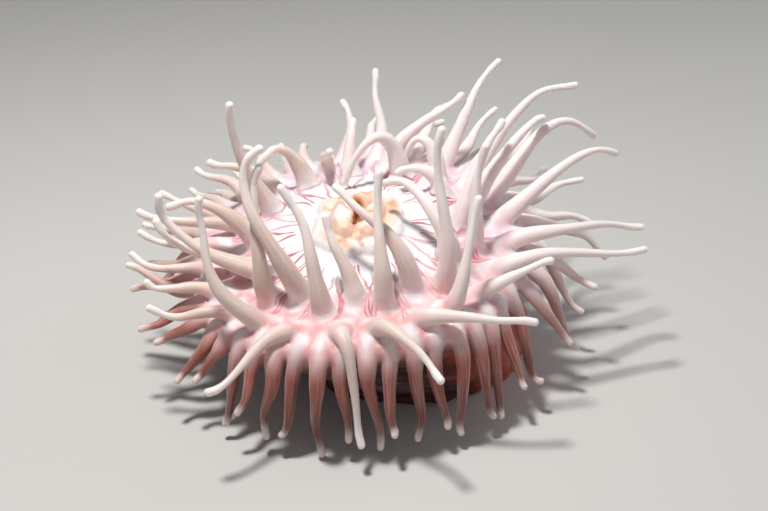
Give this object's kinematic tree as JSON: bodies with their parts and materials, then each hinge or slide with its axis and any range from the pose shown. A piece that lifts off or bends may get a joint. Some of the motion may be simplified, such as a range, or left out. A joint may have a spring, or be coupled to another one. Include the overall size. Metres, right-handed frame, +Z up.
{
  "type": "sea anemone",
  "caption": "Broad, low sea anemone: a stout dark red column under a white disc ringed by pale pink tapering tentacles, which hang at the front and arch over the mouth.",
  "frame": {"origin": "middle of the flat underside of the pedal disc, on the floor", "axes": "+Z up; -Y to the front, which the tilted disc faces and where the tentacles hang; +X to the right as seen from the front"},
  "size_m": [0.2431, 0.2126, 0.1357],
  "materials": {
    "column_skin": "wet, satin, dark red with orange-red patches",
    "disc_skin": "wet, satin, near white with fine crimson lines",
    "lip_skin": "wet, satin, pale peach with an orange slit",
    "tentacle_skin": "wet, satin, milky pink, whiter to the tips"
  },
  "bodies": {
    "root": {"pedal_disc": "column_skin", "column_lower": "column_skin", "column_upper": "column_skin", "oral_disc": "disc_skin", "mouth": "lip_skin", "tentacle_inner_01": "tentacle_skin", "tentacle_inner_02": "tentacle_skin", "tentacle_inner_03": "tentacle_skin", "tentacle_inner_04": "tentacle_skin", "tentacle_inner_05": "tentacle_skin", "tentacle_inner_06": "tentacle_skin", "tentacle_inner_07": "tentacle_skin", "tentacle_inner_08": "tentacle_skin", "tentacle_inner_09": "tentacle_skin", "tentacle_inner_10": "tentacle_skin", "tentacle_inner_11": "tentacle_skin", "tentacle_inner_12": "tentacle_skin", "tentacle_second_01": "tentacle_skin", "tentacle_second_02": "tentacle_skin", "tentacle_second_03": "tentacle_skin", "tentacle_second_04": "tentacle_skin", "tentacle_second_05": "tentacle_skin", "tentacle_second_06": "tentacle_skin", "tentacle_second_07": "tentacle_skin", "tentacle_second_08": "tentacle_skin", "tentacle_second_09": "tentacle_skin", "tentacle_second_10": "tentacle_skin", "tentacle_second_11": "tentacle_skin", "tentacle_second_12": "tentacle_skin", "margin_01": "tentacle_skin", "margin_02": "tentacle_skin", "margin_03": "tentacle_skin", "margin_04": "tentacle_skin", "margin_05": "tentacle_skin", "margin_06": "tentacle_skin", "margin_07": "tentacle_skin", "margin_08": "tentacle_skin", "margin_09": "tentacle_skin", "margin_10": "tentacle_skin", "margin_11": "tentacle_skin", "margin_12": "tentacle_skin", "margin_13": "tentacle_skin", "margin_14": "tentacle_skin", "margin_15": "tentacle_skin", "margin_16": "tentacle_skin", "margin_17": "tentacle_skin", "margin_18": "tentacle_skin", "margin_19": "tentacle_skin", "margin_20": "tentacle_skin", "margin_21": "tentacle_skin", "margin_22": "tentacle_skin", "margin_23": "tentacle_skin", "margin_24": "tentacle_skin"}
  },
  "joints": []
}
